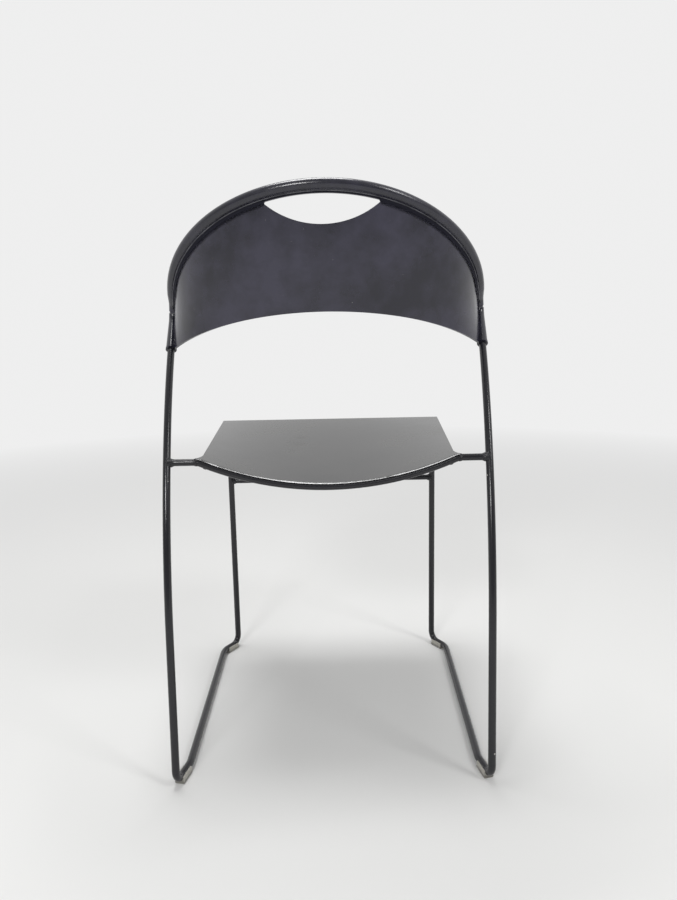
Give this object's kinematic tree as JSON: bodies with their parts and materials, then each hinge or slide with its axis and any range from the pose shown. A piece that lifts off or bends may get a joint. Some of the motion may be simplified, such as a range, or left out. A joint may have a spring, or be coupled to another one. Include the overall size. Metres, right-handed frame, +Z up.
{
  "type": "stacking sled chair",
  "caption": "Armless stacking chair with a bent round-rod sled frame, a dished sheet-metal seat and a curved moulded backrest with a hand hole.",
  "frame": {"origin": "centre of the overall bounding box in plan, on the floor plane under the glides", "axes": "+Z up; the chair faces -Y, so the backrest is towards +Y; +X is the sitter's left"},
  "size_m": [0.5082, 0.4622, 0.8277],
  "materials": {
    "frame": "black semi-gloss coating on round steel rod",
    "weld": "black semi-gloss coating over weld beads",
    "seat": "black semi-gloss coating on sheet steel, lightly scuffed",
    "backrest": "fine-grained moulded plastic, lightly scratched",
    "glide": "milky soft plastic"
  },
  "bodies": {
    "root": {"left_rear_leg": "frame", "right_rear_leg": "frame", "left_runner": "frame", "right_runner": "frame", "left_front_leg": "frame", "right_front_leg": "frame", "left_seat_rail": "frame", "right_seat_rail": "frame", "back_hoop": "frame", "seat_rear_rod": "frame", "front_cross_rod": "frame", "left_rear_weld": "weld", "right_rear_weld": "weld", "left_cross_weld": "weld", "right_cross_weld": "weld", "left_seat_weld": "weld", "right_seat_weld": "weld", "backrest_shell": "backrest", "seat_pan": "seat", "left_rear_glide": "glide", "right_rear_glide": "glide", "left_front_glide": "glide", "right_front_glide": "glide"}
  },
  "joints": []
}
